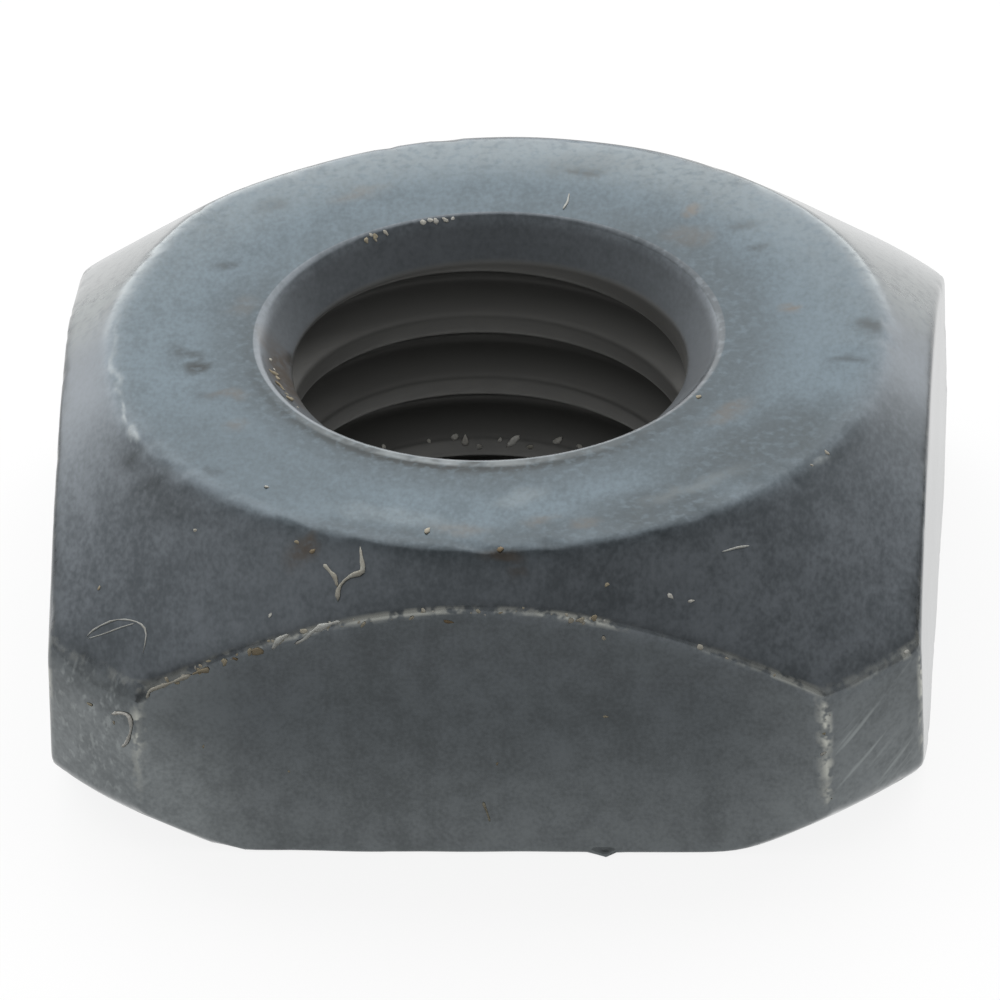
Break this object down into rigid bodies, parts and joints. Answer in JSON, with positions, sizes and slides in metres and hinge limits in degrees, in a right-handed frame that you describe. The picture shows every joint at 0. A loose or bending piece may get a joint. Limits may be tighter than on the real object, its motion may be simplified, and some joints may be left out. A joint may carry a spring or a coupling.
{
  "type": "square nut",
  "caption": "Square steel nut with turned corners, a wide chamfer around its round top face and a countersunk tapped hole, screwed onto a bolt or stud to clamp it.",
  "frame": {"origin": "on the axis of the tapped hole, at the bearing face that the nut rests on", "axes": "+Z along the hole towards the chamfered top face, +X and +Y square to the flats, -Y towards the flat that faces the camera"},
  "size_m": [0.015, 0.015, 0.0057],
  "materials": {
    "steel": "dark blue-grey oxide film, satin and slightly mottled, worn bright at the rim of the hole and along the edges"
  },
  "bodies": {
    "root": {"square_nut": "steel"}
  },
  "joints": []
}
